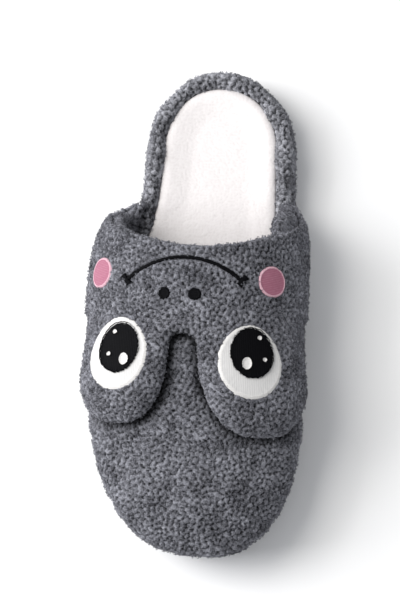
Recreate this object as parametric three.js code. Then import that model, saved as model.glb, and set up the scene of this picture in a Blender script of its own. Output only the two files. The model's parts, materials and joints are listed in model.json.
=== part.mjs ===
// A backless plush house slipper for the right foot, in millimetres, +Z up.
// The toe points to -Y, the heel to +Y and the big-toe side to +X.
// The origin is on the floor, under the middle of the slipper's length and width.
//
// From the floor up: a moulded outsole, a midsole wrapped in fleece whose rolled edge stands
// round the heel, a padded terry insole, a hollow upper open at the back and underneath, and
// a face panel over the upper that ends in two stuffed eye lobes.
// Flat embroidered pieces lie on the panel: eyes, pupils, cheeks, nostrils and a smile.
import * as THREE from "three";
import { mergeVertices } from "three/addons/utils/BufferGeometryUtils.js";

// Sizes of the last
const soleLength = 264;
const ballWidth = 108;
const instepHeight = 72;
const toeSpring = 3.5;
const toeSpringReach = 60;
const archRise = 1.2;
const archMiddleAt = 0.56;
const archHalfAt = 0.1;

// Rounding of the outline's ends: how far each reaches along the sole, and its fullness
const toeRoundOuter = 105;
const toeRoundInner = 84;
const toeRoundPower = 2.4;
const heelRound = 44;
const heelRoundPower = 2.05;

// Layers of the sole
const outsoleThickness = 5;
const outsoleInset = 3;
const outsoleBevel = 1.2;
const wrapSideHeight = 12;
const wrapBelly = 1.4;
const rimWidth = 9;
const rimHeelHeight = 8;
const rimSeatHeight = 1.6;
const rimSeatFlatness = 8;
const rimHeelFlatness = 2;
const insoleThickness = 7.5;
const insoleHeelDip = 2;
const insoleDishInset = 16;
const insoleBelowRim = 3;
const insoleEdgeDrop = 2.2;
const insoleEdgeInset = 4;

// The upper: one hollow wall
const upperWall = 4.5;
const tuckHeight = 10;
const tuckInset = 1.6;
const tuckAngle = THREE.MathUtils.degToRad(50);
const noseOverhang = 2;
const noseRound = 40;
const noseRoundPower = 2.2;
const collarBack = 35;
const collarPowerOuter = 1.1;
const collarPowerInner = 1.3;
const collarCurve = 0.1;
const collarLip = 1.5;

// The face panel and its two stuffed lobes. The powers give the padding's fullness towards
// the notch between the lobes and towards the sides.
const panelThickness = 3;
const lobePad = 8;
const lobeReach = 49;
const lobePower = 2.4;
const lobeEdgeRound = 7;
const lobeEdgeShare = 0.35;
const lobeFadeBack = 14;
const lobeNotchPower = 8;
const lobeSidePower = 2.2;
const notchPadShare = 0.5;
const notchRound = 8;

// Embroidered pieces
const patchThickness = 1.2;
const patchEdgeShare = 0.5;
const eyeWidth = 33;
const eyeLength = 39;
const pupilWidth = 22;
const pupilLength = 27;
const cheekWidth = 16;
const nostrilWidth = 6.5;
const smileWidth = 69;
const smileRise = 11;
const smileStroke = 2.4;
const smileTick = 7;

const fitGap = 0.3;

// How finely the surfaces are divided
const outlineSteps = 68;
const upperGirthSteps = 40;
const upperRowSteps = 22;
const panelRowSteps = 15;
const panelSideSteps = 5;
const lobeSteps = 16;
const notchSteps = 7;
const frontEdgeSteps = 40;
const arcLengthSteps = 40;
const patchRings = [0, 0.5, 0.88, 1];
const patchSpokes = 24;
const dotRings = [0, 0.75, 1];
const dotSpokes = 12;
const smileSteps = 20;

// Sole stations. at: share of the length from the toe tip.
// outer and inner: reach to the little-toe and the big-toe side of the line from toe tip to
// heel tip, as shares of the ball width, before the ends are rounded.
const soleRows = [
  { at: 0, outer: 0.56, inner: 0.44 },
  { at: 0.27, outer: 0.56, inner: 0.445 },
  { at: 0.42, outer: 0.552, inner: 0.432 },
  { at: 0.53, outer: 0.52, inner: 0.415 },
  { at: 0.62, outer: 0.458, inner: 0.4 },
  { at: 0.7, outer: 0.395, inner: 0.388 },
  { at: 0.79, outer: 0.37, inner: 0.385 },
  { at: 1, outer: 0.36, inner: 0.38 },
];

// Upper stations. outer and inner: reach of its widest line, as above.
// crest: height of its top over the floor, as a share of the instep height.
// full: power of its superelliptic arch.
const upperRows = [
  { at: 0, outer: 0.59, inner: 0.458, crest: 0.65, full: 2 },
  { at: 0.12, outer: 0.59, inner: 0.46, crest: 0.7, full: 2.05 },
  { at: 0.27, outer: 0.59, inner: 0.456, crest: 0.8, full: 2.15 },
  { at: 0.42, outer: 0.582, inner: 0.436, crest: 0.915, full: 2.25 },
  { at: 0.53, outer: 0.576, inner: 0.436, crest: 0.98, full: 2.3 },
  { at: 0.6, outer: 0.558, inner: 0.436, crest: 1.005, full: 2.3 },
  { at: 0.64, outer: 0.522, inner: 0.43, crest: 1.015, full: 2.3 },
  { at: 0.68, outer: 0.452, inner: 0.408, crest: 1.02, full: 2.3 },
  { at: 0.72, outer: 0.4, inner: 0.395, crest: 1.02, full: 2.3 },
];

// The crest's place across the upper: share of the ball width from the toe-heel line.
const ridgeShift = -0.055;

// Places on the upper. at: share of the length. girth: -1 at the base on the little-toe
// side, 0 on the crest, 1 at the base on the big-toe side.
const widestGirth = 0.8;
const collarFrontAt = 0.576;
const notchAt = 0.416;

// Lobes. middle, notchHalf and sideHalf: place and half widths, as shares of the girth.
// reach and sideReach: how far the lobe, and the panel beside it, come forward of the notch,
// as shares of the lobe reach.
const lobes = {
  outer: { middle: 0.33, notchHalf: 0.226, sideHalf: 0.425, reach: 0.88, sideReach: 0.66 },
  inner: { middle: 0.3, notchHalf: 0.277, sideHalf: 0.455, reach: 1, sideReach: 0.65 },
};

// Embroidered patches, as places above. layer: 0 on the panel, 1 on an eye.
const features = [
  { name: "eye_white_outer", at: 0.377, girth: -0.328, layer: 0, thread: "white" },
  { name: "eye_white_inner", at: 0.364, girth: 0.25, layer: 0, thread: "white" },
  { name: "pupil_outer", at: 0.389, girth: -0.314, layer: 1, thread: "black" },
  { name: "pupil_inner", at: 0.3825, girth: 0.253, layer: 1, thread: "black" },
  { name: "cheek_outer", at: 0.535, girth: -0.49, layer: 0, thread: "pink" },
  { name: "cheek_inner", at: 0.519, girth: 0.371, layer: 0, thread: "pink" },
  { name: "nostril_outer", at: 0.487, girth: -0.112, layer: 0, thread: "black" },
  { name: "nostril_inner", at: 0.486, girth: 0.002, layer: 0, thread: "black" },
];
const patchSizes = {
  eye: { width: eyeWidth, length: eyeLength, rings: patchRings, spokes: patchSpokes },
  pupil: { width: pupilWidth, length: pupilLength, rings: patchRings, spokes: patchSpokes },
  cheek: { width: cheekWidth, length: cheekWidth, rings: patchRings, spokes: patchSpokes },
  nostril: { width: nostrilWidth, length: nostrilWidth, rings: dotRings, spokes: dotSpokes },
};
const smilePlace = { at: 0.554, girth: -0.05 };

const { clamp, lerp, smoothstep } = THREE.MathUtils;

// Reads one column of a table at any station, through smooth cubic spans.
function readRow(rows, column, at) {
  const last = rows.length - 1;
  const x = clamp(at, rows[0].at, rows[last].at);
  let i = 0;
  while (i < last - 1 && x > rows[i + 1].at) {
    i += 1;
  }
  const slope = (k) => {
    const before = rows[Math.max(k - 1, 0)];
    const after = rows[Math.min(k + 1, last)];
    return (after[column] - before[column]) / (after.at - before.at);
  };
  const span = rows[i + 1].at - rows[i].at;
  const t = (x - rows[i].at) / span;
  const t2 = t * t;
  const t3 = t2 * t;
  return (
    (2 * t3 - 3 * t2 + 1) * rows[i][column] +
    (t3 - 2 * t2 + t) * span * slope(i) +
    (3 * t2 - 2 * t3) * rows[i + 1][column] +
    (t3 - t2) * span * slope(i + 1)
  );
}

// A superelliptic quarter round: 0 at its start, 1 from the given depth on.
function quarterRound(distance, depth, power) {
  const left = 1 - clamp(distance / depth, 0, 1);
  return Math.pow(1 - Math.pow(left, power), 1 / power);
}

// The outline's rounding at a station. side: -1 little-toe side, 1 big-toe side.
function endRound(at, side) {
  const toeDepth = side < 0 ? toeRoundOuter : toeRoundInner;
  const toe = quarterRound(at * soleLength, toeDepth, toeRoundPower);
  const heel = quarterRound((1 - at) * soleLength, heelRound, heelRoundPower);
  return toe * heel;
}

const sideColumn = (side) => (side < 0 ? "outer" : "inner");
const stationY = (at) => (at - 0.5) * soleLength;

// X of the sole's edge, or of the upper's widest line, at a station.
function reachX(rows, at, side) {
  return side * readRow(rows, sideColumn(side), at) * ballWidth * endRound(at, side);
}

// The toe's lift off the floor.
function springAt(at) {
  const left = 1 - clamp((at * soleLength) / toeSpringReach, 0, 1);
  return toeSpring * left * left;
}

// Heights over the floor, toe spring not counted
const wrapBottom = outsoleThickness + fitGap;
const wrapShoulder = wrapBottom + wrapSideHeight;

// The rim grows from a flat seat under the upper to a full roll round the heel.
const rollStartAt = 0.6;
const rollFullAt = 0.74;
const rollGrowth = (at) => smoothstep(at, rollStartAt, rollFullAt);
const rimHeight = (at) => lerp(rimSeatHeight, rimHeelHeight, rollGrowth(at));
const rimTop = (at) => wrapShoulder + rimHeight(at);
const insoleTop = (at) => rimTop(at) - insoleBelowRim * rollGrowth(at);
const recessFloor = insoleTop(0) - insoleThickness - fitGap;

// The sole's outline: from the toe tip along the little-toe side to the heel tip, and back
// along the big-toe side, with points closer together at both tips.
const outline = Array.from({ length: outlineSteps }, (_, i) => {
  const half = outlineSteps / 2;
  const side = i <= half ? -1 : 1;
  const turn = (side < 0 ? i : outlineSteps - i) / half;
  const at = (1 - Math.cos(turn * Math.PI)) / 2;
  return { at, point: new THREE.Vector2(reachX(soleRows, at, side), stationY(at)) };
});

// Outward directions of the outline, from each point's two neighbours.
const outward = outline.map((_, i) => {
  const before = outline[(i + outlineSteps - 1) % outlineSteps].point;
  const after = outline[(i + 1) % outlineSteps].point;
  const along = after.clone().sub(before).normalize();
  return new THREE.Vector2(-along.y, along.x);
});

// A closed loop inside the outline. height: a function of the station.
function insetLoop(inset, height) {
  return outline.map(({ at, point }, i) => {
    const p = point.clone().addScaledVector(outward[i], -inset);
    return new THREE.Vector3(p.x, p.y, height(at) + springAt(at));
  });
}

const quad = (a, b, c, d) => [
  [a, b, c],
  [a, c, d],
];

// Points closer than this are one corner.
const sameCorner = 1e-4;
const mergeDistance = 1e-3;

// A closed, merged geometry from triangles of points, its faces turned out.
function solidFrom(triangles) {
  const same = (p, q) => p.distanceTo(q) < sameCorner;
  const real = triangles.filter(([a, b, c]) => !same(a, b) && !same(b, c) && !same(c, a));
  const volume = real.reduce((sum, [a, b, c]) => sum + a.dot(b.clone().cross(c)), 0);
  const turned = real.map(([a, b, c]) => (volume < 0 ? [a, c, b] : [a, b, c]));
  const positions = turned.flat().flatMap((p) => p.toArray());
  const geometry = new THREE.BufferGeometry();
  geometry.setAttribute("position", new THREE.Float32BufferAttribute(positions, 3));
  return mergeVertices(geometry, mergeDistance);
}

// Skins a stack of closed loops. Each end is closed by strips across the loop.
function loopSolid(loops) {
  const count = loops[0].length;
  const skin = loops.slice(1).flatMap((upper, r) =>
    upper.flatMap((_, i) => {
      const j = (i + 1) % count;
      return quad(loops[r][i], loops[r][j], upper[j], upper[i]);
    }),
  );
  const strips = (loop) =>
    Array.from({ length: count / 2 }, (_, i) => {
      const across = (count - i) % count;
      return quad(loop[i], loop[i + 1], loop[count - i - 1], loop[across]);
    }).flat();
  const bottom = strips(loops[0]).map(([a, b, c]) => [a, c, b]);
  return solidFrom([...bottom, ...skin, ...strips(loops[loops.length - 1])]);
}

// Closes a wall between an outer and an inner grid of points. nose: whether the first rows
// fold shut on themselves. rim: an optional row of points that the last edge rounds over.
function wallSolid(outer, inner, { nose = false, rim = null } = {}) {
  const columns = outer.length;
  const end = outer[0].length - 1;
  const triangles = [];
  for (let i = 0; i < columns - 1; i += 1) {
    for (let j = 0; j < end; j += 1) {
      triangles.push(...quad(outer[i][j], outer[i][j + 1], outer[i + 1][j + 1], outer[i + 1][j]));
      triangles.push(...quad(inner[i][j], inner[i + 1][j], inner[i + 1][j + 1], inner[i][j + 1]));
    }
    if (!nose) {
      triangles.push(...quad(outer[i][0], outer[i + 1][0], inner[i + 1][0], inner[i][0]));
    }
    if (rim) {
      triangles.push(...quad(outer[i + 1][end], outer[i][end], rim[i], rim[i + 1]));
      triangles.push(...quad(rim[i + 1], rim[i], inner[i][end], inner[i + 1][end]));
    } else {
      triangles.push(...quad(outer[i + 1][end], outer[i][end], inner[i][end], inner[i + 1][end]));
    }
  }
  for (const i of [0, columns - 1]) {
    const turn = i === 0 ? ([a, b, c]) => [a, b, c] : ([a, b, c]) => [a, c, b];
    for (let j = 0; j < end; j += 1) {
      const side = quad(outer[i][j + 1], outer[i][j], inner[i][j], inner[i][j + 1]);
      triangles.push(...side.map(turn));
    }
    if (rim) {
      triangles.push(turn([outer[i][end], inner[i][end], rim[i]]));
    }
  }
  return solidFrom(triangles);
}

// Outsole: a sheet with a bevelled lower edge, sprung at the toe and lifted at the arch.
function outsoleGeometry() {
  const arch = (at) => archRise * (1 - smoothstep(Math.abs(at - archMiddleAt), 0, archHalfAt));
  return loopSolid([
    insetLoop(outsoleInset + outsoleBevel, arch),
    insetLoop(outsoleInset, (at) => arch(at) + outsoleBevel),
    insetLoop(outsoleInset, () => outsoleThickness),
  ]);
}

// Fleece-wrapped midsole: a bellied side, a rolled rim and a recess for the insole.
function soleWrapGeometry() {
  const sideShares = [0, 0.25, 0.55, 1];
  const bellyInset = (share) => wrapBelly * Math.pow(2 * share - 1, 2);
  const sideLoops = sideShares.map((share) =>
    insetLoop(bellyInset(share), () => wrapBottom + share * wrapSideHeight),
  );
  const rollShares = [0.08, 0.25, 0.5, 0.75, 0.92];
  const rollLoops = rollShares.map((share) =>
    insetLoop(lerp(bellyInset(1), rimWidth, share), (at) => {
      const flatness = lerp(rimSeatFlatness, rimHeelFlatness, rollGrowth(at));
      const across = Math.abs(2 * share - 1);
      return wrapShoulder + rimHeight(at) * Math.pow(1 - Math.pow(across, flatness), 1 / flatness);
    }),
  );
  const recessLoops = [wrapShoulder, recessFloor].map((height) => insetLoop(rimWidth, () => height));
  return loopSolid([...sideLoops, ...rollLoops, ...recessLoops]);
}

// Insole: fills the recess, with a rounded top edge and a dish under the heel.
function insoleGeometry() {
  const edge = rimWidth + fitGap;
  const dished = (drop, dip) => (at) => insoleTop(at) - drop - dip * rollGrowth(at);
  const shoulder = 0.3;
  return loopSolid([
    insetLoop(edge, () => recessFloor + fitGap),
    insetLoop(edge, dished(insoleEdgeDrop, 0)),
    insetLoop(edge + shoulder * insoleEdgeInset, dished(shoulder * insoleEdgeDrop, 0)),
    insetLoop(edge + insoleEdgeInset, dished(0, 0)),
    insetLoop(edge + insoleDishInset, dished(0, insoleHeelDip)),
  ]);
}

// A point of the upper's outer surface. Above its widest line the section is a superelliptic
// arch; below, it tucks in to its seat on the sole.
function skinPoint(at, girth) {
  const side = girth < 0 ? -1 : 1;
  const share = Math.abs(girth);
  const base = rimTop(at) + fitGap + springAt(at);
  const widest = base + tuckHeight;
  const wideX = reachX(upperRows, at, side);
  const wideY = stationY(at) - noseOverhang * (1 - at);
  if (share <= widestGirth) {
    const angle = (Math.PI / 2) * (1 - share / widestGirth);
    const full = readRow(upperRows, "full", at);
    const nose = quarterRound(at * soleLength, noseRound, noseRoundPower);
    const rise = (readRow(upperRows, "crest", at) * instepHeight - widest) * nose;
    const ridgeX = ridgeShift * ballWidth * endRound(at, 1);
    const across = Math.pow(Math.cos(angle), 2 / full);
    const up = Math.pow(Math.sin(angle), 2 / full);
    return new THREE.Vector3(lerp(ridgeX, wideX, across), wideY, widest + rise * up);
  }
  const angle = (tuckAngle * (share - widestGirth)) / (1 - widestGirth);
  const tuck = (1 - Math.cos(angle)) / (1 - Math.cos(tuckAngle));
  const baseX = reachX(soleRows, at, side) - side * tuckInset * endRound(at, side);
  return new THREE.Vector3(
    lerp(wideX, baseX, tuck),
    lerp(wideY, stationY(at) + tuckInset * (1 - at), tuck),
    widest - (tuckHeight * Math.sin(angle)) / Math.sin(tuckAngle),
  );
}

// Outward direction of the upper's surface, from points a small step away.
const normalStep = 1e-3;
const backStep = 2e-4;
const frontShare = 0.99;

function skinNormal(at, girth) {
  const g = clamp(girth, normalStep - 1, 1 - normalStep);
  const round = skinPoint(at, g + normalStep).sub(skinPoint(at, g - normalStep));
  if (at <= 0) {
    // at the very tip the section closes to an upright line
    return new THREE.Vector3(0, -Math.max(Math.abs(round.z), sameCorner), -Math.abs(round.y)).normalize();
  }
  const back = skinPoint(at + backStep, g);
  const front = skinPoint(at * frontShare, g);
  return back.sub(front).cross(round).negate().normalize();
}

function skinOffset(at, girth, distance) {
  return skinPoint(at, girth).addScaledVector(skinNormal(at, girth), distance);
}

// The collar's station: furthest forward on the crest, swept back to both ends.
function collarAt(girth) {
  const power = girth < 0 ? collarPowerOuter : collarPowerInner;
  const share = (Math.hypot(girth, collarCurve) - collarCurve) / (Math.hypot(1, collarCurve) - collarCurve);
  return collarFrontAt + (collarBack / soleLength) * Math.pow(share, power);
}

// Shares from 0 to 1, even for closeness 0 and closer together at both ends for 1.
function endShares(steps, closeness) {
  return Array.from({ length: steps + 1 }, (_, k) => {
    const t = k / steps;
    return lerp(t, (1 - Math.cos(Math.PI * t)) / 2, closeness);
  });
}

function upperGeometry() {
  const girths = Array.from({ length: upperGirthSteps + 1 }, (_, i) => (2 * i) / upperGirthSteps - 1);
  const shares = endShares(upperRowSteps, 1);
  const grid = (distance) => girths.map((g) => shares.map((t) => skinOffset(t * collarAt(g), g, distance)));
  const lip = girths.map((g) => skinOffset(collarAt(g) + collarLip / soleLength, g, -upperWall / 2));
  return wallSolid(grid(0), grid(-upperWall), { nose: true, rim: lip });
}

const lobeOf = (girth) => (girth < 0 ? lobes.outer : lobes.inner);

// Place across a lobe: -1 at the notch, 0 at its middle, 1 at its side.
function lobeAcross(girth) {
  const lobe = lobeOf(girth);
  const past = Math.abs(girth) - lobe.middle;
  return clamp(past / (past < 0 ? lobe.notchHalf : lobe.sideHalf), -1, 1);
}

const notchStart = lobes.outer.notchHalf - lobes.outer.middle;
const notchEnd = lobes.inner.middle - lobes.inner.notchHalf;

// How far the edge drops from the notch's top, which is a round arch.
function notchDrop(girth) {
  const across = (2 * (girth - notchStart)) / (notchEnd - notchStart) - 1;
  return notchRound * (1 - Math.sqrt(1 - Math.min(across * across, 1)));
}

// Station of the panel's front edge: two lobes, the notch between them, and straight sides.
function panelFrontAt(girth) {
  const lobe = lobeOf(girth);
  const across = lobeAcross(girth);
  const reach = lobe.reach * Math.pow(1 - Math.pow(Math.abs(across), lobePower), 1 / lobePower);
  const shown = across > 0 ? Math.max(reach, lobe.sideReach) : reach;
  return notchAt - Math.max(shown * lobeReach, notchDrop(girth)) / soleLength;
}

// Girths across the panel: close together where a lobe's edge turns.
function panelGirths(steps) {
  const half = (lobe) => {
    const lobeSide = lobe.middle + lobe.sideHalf;
    const side = Array.from({ length: panelSideSteps }, (_, i) => lerp(1, lobeSide, i / panelSideSteps));
    const over = Array.from({ length: steps + 1 }, (_, i) => {
      const across = Math.cos((Math.PI * i) / steps);
      return lobe.middle + across * (across < 0 ? lobe.notchHalf : lobe.sideHalf);
    });
    return [...side, ...over];
  };
  const outer = half(lobes.outer).map((g) => -g);
  const inner = half(lobes.inner).reverse();
  const notch = Array.from({ length: notchSteps }, (_, i) =>
    lerp(notchStart, notchEnd, (1 - Math.cos((Math.PI * (i + 1)) / (notchSteps + 1))) / 2),
  );
  return [...outer, ...notch, ...inner];
}

// Length of the upper's surface from crest to base at the lobes, for distances over it.
const halfGirth = (() => {
  const at = notchAt - lobeReach / 2 / soleLength;
  const points = Array.from({ length: arcLengthSteps + 1 }, (_, i) => skinPoint(at, -i / arcLengthSteps));
  return points.slice(1).reduce((sum, p, i) => sum + p.distanceTo(points[i]), 0);
})();

const flatPoint = (at, girth) => new THREE.Vector3(girth * halfGirth, at * soleLength, 0);

// The panel's front edge as short lines over the surface, in millimetres.
const frontEdge = panelGirths(frontEdgeSteps)
  .map((girth) => flatPoint(panelFrontAt(girth), girth))
  .map((point, i, all) => new THREE.Line3(all[Math.max(i - 1, 0)], point));

function distanceToFrontEdge(at, girth) {
  const here = flatPoint(at, girth);
  const nearest = new THREE.Vector3();
  return Math.min(...frontEdge.map((line) => line.closestPointToPoint(here, true, nearest).distanceTo(here)));
}

// The panel's thickness: thin at collar and sides, stuffed over the lobes, its edge rounded.
function panelDepth(at, girth) {
  const lobeMiddleAt = notchAt - lobeReach / 2 / soleLength;
  const lobeBackAt = notchAt + lobeFadeBack / soleLength;
  const along = 1 - smoothstep(at, lobeMiddleAt, lobeBackAt);
  const across = lobeAcross(girth);
  const power = across < 0 ? lobeNotchPower : lobeSidePower;
  const lost = across < 0 ? 1 - notchPadShare : 1;
  const pad = lobePad * along * (1 - lost * Math.pow(Math.abs(across), power));
  const edge = quarterRound(distanceToFrontEdge(at, girth), lobeEdgeRound, 2);
  return (panelThickness + pad) * lerp(lobeEdgeShare, 1, edge);
}

function facePanelGeometry() {
  const shares = endShares(panelRowSteps, 0.75);
  const grid = (distance) =>
    panelGirths(lobeSteps).map((g) =>
      shares.map((t) => {
        const at = lerp(panelFrontAt(g), collarAt(g), t);
        return skinOffset(at, g, fitGap + distance(at, g));
      }),
    );
  return wallSolid(grid(panelDepth), grid(() => 0));
}

// A point over the face panel. x and y run over its surface in millimetres from a place:
// x round the girth towards the big toe, y towards the heel.
const panelStep = 0.02;

function panelPoint(place, x, y, distance) {
  const over = (at, girth, more) => skinOffset(at, girth, fitGap + panelDepth(at, girth) + more);
  const here = over(place.at, place.girth, 0);
  const perAt = over(place.at + panelStep, place.girth, 0).distanceTo(here) / panelStep;
  const perGirth = over(place.at, place.girth + panelStep, 0).distanceTo(here) / panelStep;
  return over(place.at + y / perAt, place.girth + x / perGirth, distance);
}

// Closes a dome between two round grids that share their rim's outline.
function domeSolid(top, bottom) {
  const rings = top.length;
  const count = top[0].length;
  const triangles = [];
  for (let i = 0; i < count; i += 1) {
    const j = (i + 1) % count;
    for (let r = 0; r < rings - 1; r += 1) {
      triangles.push(...quad(top[r][i], top[r][j], top[r + 1][j], top[r + 1][i]));
      triangles.push(...quad(bottom[r][i], bottom[r + 1][i], bottom[r + 1][j], bottom[r][j]));
    }
    const rim = rings - 1;
    triangles.push(...quad(top[rim][i], top[rim][j], bottom[rim][j], bottom[rim][i]));
  }
  return solidFrom(triangles);
}

// An oval embroidered patch on the panel, its edge thinner than its middle.
function patchGeometry(place) {
  const { width, length, rings, spokes } = patchSizes[place.name.split("_")[0]];
  const lift = fitGap + place.layer * (patchThickness + fitGap);
  const grid = (distance) =>
    rings.map((r) =>
      Array.from({ length: spokes }, (_, i) => {
        const turn = (2 * Math.PI * i) / spokes;
        const x = (r * width * Math.cos(turn)) / 2;
        const y = (r * length * Math.sin(turn)) / 2;
        return panelPoint(place, x, y, lift + distance(r));
      }),
    );
  return domeSolid(
    grid((r) => patchThickness * (r < 1 ? 1 : patchEdgeShare)),
    grid(() => 0),
  );
}

// The smile: a stroke along an arc with a short tick across each end.
function smileGeometry() {
  const half = smileWidth / 2;
  const tickShare = smileStroke / smileWidth;
  const besideTick = 0.4;
  const arcFrom = (1 + besideTick) * tickShare;
  const arc = Array.from({ length: smileSteps + 1 }, (_, i) => lerp(arcFrom, 1 - arcFrom, i / smileSteps));
  const stations = [0, tickShare, ...arc, 1 - tickShare, 1];
  const grid = (distance) =>
    stations.map((t) => {
      const x = (2 * t - 1) * half;
      const y = -smileRise * (x / half) * (x / half);
      const slope = (-2 * smileRise * x) / (half * half);
      const tick = Math.min(t, 1 - t) <= tickShare;
      const reach = (tick ? smileTick : smileStroke) / 2;
      const across = new THREE.Vector2(-slope, 1).normalize().multiplyScalar(reach);
      return [-1, 0, 1].map((w) =>
        panelPoint(smilePlace, x + across.x * w, y + across.y * w, fitGap + distance(w)),
      );
    });
  return wallSolid(
    grid((w) => patchThickness * (w === 0 ? 1 : patchEdgeShare)),
    grid(() => 0),
  );
}

// Materials by what each piece is made of
const paint = (color, roughness) => new THREE.MeshStandardMaterial({ color, roughness, metalness: 0 });
const fleece = paint(0x74757d, 0.95);
const terry = paint(0xf3efec, 0.95);
const rubber = paint(0x3c3d42, 0.8);
const threads = {
  white: paint(0xf1f1ef, 0.7),
  black: paint(0x101014, 0.6),
  pink: paint(0xcf7f97, 0.7),
};

const slipper = new THREE.Group();

function addPiece(name, geometry, material) {
  const mesh = new THREE.Mesh(geometry, material);
  mesh.name = name;
  slipper.add(mesh);
}

addPiece("outsole", outsoleGeometry(), rubber);
addPiece("sole_wrap", soleWrapGeometry(), fleece);
addPiece("insole", insoleGeometry(), terry);
addPiece("upper", upperGeometry(), fleece);
addPiece("face_panel", facePanelGeometry(), fleece);
for (const place of features) {
  addPiece(place.name, patchGeometry(place), threads[place.thread]);
}
addPiece("smile", smileGeometry(), threads.black);

// The origin is under the middle of the slipper, on the floor.
const box = new THREE.Box3().setFromObject(slipper);
const centre = box.getCenter(new THREE.Vector3());
slipper.position.set(-centre.x, -centre.y, -box.min.z);

export default slipper;
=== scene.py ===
# %% [markdown]
# # A plush house slipper
# The slipper is a right shoe in curly teddy fleece with a white terry footbed, an embroidered
# animal face and two stuffed lobes that carry the eyes. The CAD solids give every size and
# place. This script loads them as a fixed frame and dresses each one in cloth or thread.

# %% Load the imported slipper
import json
import math
import bmesh
import bpy
import numpy as np
from mathutils import Matrix, Vector, kdtree, noise
from mathutils.bvhtree import BVHTree

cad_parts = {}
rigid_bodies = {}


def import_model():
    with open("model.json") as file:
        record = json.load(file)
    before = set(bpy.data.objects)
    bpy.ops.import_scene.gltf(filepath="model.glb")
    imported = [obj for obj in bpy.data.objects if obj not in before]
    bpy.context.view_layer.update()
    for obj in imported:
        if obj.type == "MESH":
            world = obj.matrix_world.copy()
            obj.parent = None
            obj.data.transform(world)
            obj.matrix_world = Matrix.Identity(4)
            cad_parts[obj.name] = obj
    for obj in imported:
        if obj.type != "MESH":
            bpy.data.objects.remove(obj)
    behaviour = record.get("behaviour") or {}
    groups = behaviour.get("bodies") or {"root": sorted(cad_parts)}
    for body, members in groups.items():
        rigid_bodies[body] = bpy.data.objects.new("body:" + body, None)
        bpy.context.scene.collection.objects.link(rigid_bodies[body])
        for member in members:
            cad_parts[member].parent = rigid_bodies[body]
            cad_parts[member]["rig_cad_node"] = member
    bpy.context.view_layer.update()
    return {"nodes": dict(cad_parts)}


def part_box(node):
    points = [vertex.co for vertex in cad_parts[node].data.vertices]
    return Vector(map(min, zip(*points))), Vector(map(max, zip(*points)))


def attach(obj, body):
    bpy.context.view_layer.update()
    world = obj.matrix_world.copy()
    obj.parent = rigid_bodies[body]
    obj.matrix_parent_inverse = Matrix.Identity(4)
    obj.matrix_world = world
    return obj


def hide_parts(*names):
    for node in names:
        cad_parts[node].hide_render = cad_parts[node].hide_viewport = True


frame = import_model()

MM = 0.001

# %% [markdown]
# ## Camera, floor and light
# The photo looks at the slipper from nearly straight above, heel up, on a white ground that is
# drawn here as paper. Its shadows fall to the right, so a soft key light hangs high at the left,
# with a wider and lower one beside it. The lights' places and strengths are guesses, tuned by
# tone until the render came near the photo. A long lens keeps the view flat. The
# camera could be turned with Euler angles, but three axes keep its slight roll exact.

# %% Camera over the slipper
camera_place = Vector((72.6, -197.6, 929.2)) * MM
camera_aim = Vector((1.0, 2.0, 30.0)) * MM
image_up = Vector((-0.0384, 0.9993, 0.0))
frame_height = 318 * MM  # what the picture's height takes in at the slipper

camera = bpy.data.objects.new("studio_camera", bpy.data.cameras.new("studio_camera"))
bpy.context.scene.collection.objects.link(camera)
forward = (camera_aim - camera_place).normalized()
right = forward.cross(image_up).normalized()
up = right.cross(forward)
turn = Matrix((right, up, -forward)).transposed()
camera.matrix_world = Matrix.Translation(camera_place) @ turn.to_4x4()
camera.data.sensor_fit = "VERTICAL"
sensor_height = 36  # millimetres, as the lens is
camera.data.sensor_height = sensor_height
camera.data.lens = sensor_height * (camera_aim - camera_place).length / frame_height
bpy.context.scene.camera = camera
bpy.context.scene.view_settings.view_transform = "Standard"
print("Lens in mm:", round(camera.data.lens, 1))

# %% Colours and nodes
def linear(hex_colour):
    """An sRGB hex colour as the linear RGBA that Blender's sockets hold."""
    parts = [int(hex_colour[i : i + 2], 16) / 255 for i in (1, 3, 5)]
    return [p / 12.92 if p <= 0.04045 else ((p + 0.055) / 1.055) ** 2.4 for p in parts] + [1.0]


def node(tree, kind, settings=None, **inputs):
    """Adds a shader node. Inputs are named with _ for a space, or i and a number for a place.
    An input takes a value, or another node's output socket, which is then linked."""
    made = tree.nodes.new("ShaderNode" + kind)
    for name, value in (settings or {}).items():
        setattr(made, name, value)
    for name, value in inputs.items():
        key = int(name[1:]) if name[0] == "i" and name[1:].isdigit() else name.replace("_", " ")
        if isinstance(value, bpy.types.NodeSocket):
            tree.links.new(value, made.inputs[key])
        else:
            made.inputs[key].default_value = value
    return made


def blend(tree, factor, low, high):
    """A colour mix from low to high, where each is a colour or a socket."""
    return node(tree, "Mix", {"data_type": "RGBA"}, i0=factor, i6=low, i7=high)


def new_material(name):
    """An empty node material, to be filled from the surface output backwards."""
    material = bpy.data.materials.new(name)
    material.use_nodes = True
    material.node_tree.nodes.clear()
    return material, material.node_tree


def finish_material(tree, shader):
    node(tree, "OutputMaterial", Surface=shader.outputs[0])


print("Mid grey #808080 in linear light:", round(linear("#808080")[0], 3))

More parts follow.
